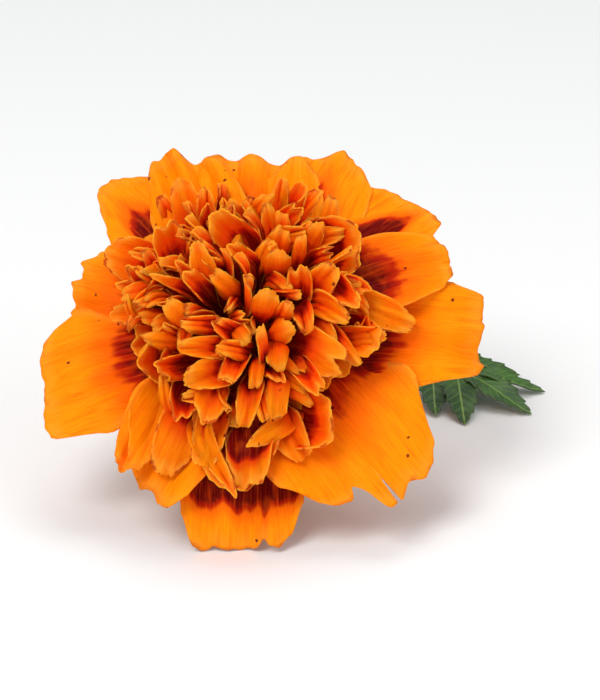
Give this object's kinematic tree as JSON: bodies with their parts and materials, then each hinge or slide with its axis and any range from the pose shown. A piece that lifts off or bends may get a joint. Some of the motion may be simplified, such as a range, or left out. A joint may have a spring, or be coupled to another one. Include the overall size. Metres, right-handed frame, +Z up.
{
  "type": "marigold flower",
  "caption": "Double French marigold bloom in orange with dark red blotches, picked with a short bent stem and a pair of toothed leaves, lying face up on a table.",
  "frame": {"origin": "on the table, under the middle of the whole flower's bounding box", "axes": "+Z up from the table; the bloom faces -Y and up, 50 degrees above the table; +X is to the right as the bloom is faced"},
  "size_m": [0.0788, 0.1044, 0.045],
  "materials": {
    "outer_petals": "satin",
    "inner_petals": "satin",
    "crest_florets": "satin",
    "involucre": "satin",
    "stem": "satin",
    "leaves": "satin"
  },
  "bodies": {
    "root": {"crest_floret_01": "crest_florets", "crest_floret_02": "crest_florets", "crest_floret_03": "crest_florets", "crest_floret_04": "crest_florets", "crest_floret_05": "crest_florets", "crest_floret_06": "crest_florets", "crest_floret_07": "crest_florets", "crest_floret_08": "crest_florets", "crest_floret_09": "crest_florets", "crest_floret_10": "crest_florets", "crest_floret_11": "crest_florets", "crest_floret_12": "crest_florets", "crest_floret_13": "crest_florets", "crest_floret_14": "crest_florets", "crest_floret_15": "crest_florets", "crest_floret_16": "crest_florets", "crest_floret_17": "crest_florets", "crest_floret_18": "crest_florets", "crest_floret_19": "crest_florets", "crest_floret_20": "crest_florets", "crest_floret_21": "crest_florets", "crest_floret_22": "crest_florets", "crest_floret_23": "crest_florets", "crest_floret_24": "crest_florets", "crest_floret_25": "crest_florets", "crest_floret_26": "crest_florets", "crest_floret_27": "crest_florets", "inner_petal_01": "inner_petals", "inner_petal_02": "inner_petals", "inner_petal_03": "inner_petals", "inner_petal_04": "inner_petals", "inner_petal_05": "inner_petals", "inner_petal_06": "inner_petals", "inner_petal_07": "inner_petals", "inner_petal_08": "inner_petals", "inner_petal_09": "inner_petals", "inner_petal_10": "inner_petals", "inner_petal_11": "inner_petals", "inner_petal_12": "inner_petals", "inner_petal_13": "inner_petals", "inner_petal_14": "inner_petals", "involucre": "involucre", "leaf_back": "leaves", "leaf_right": "leaves", "outer_petal_01": "outer_petals", "outer_petal_02": "outer_petals", "outer_petal_03": "outer_petals", "outer_petal_04": "outer_petals", "outer_petal_05": "outer_petals", "outer_petal_06": "outer_petals", "outer_petal_07": "outer_petals", "outer_petal_08": "outer_petals", "outer_petal_09": "outer_petals", "outer_petal_10": "outer_petals", "outer_petal_11": "outer_petals", "outer_petal_12": "outer_petals", "stem": "stem"}
  },
  "joints": []
}
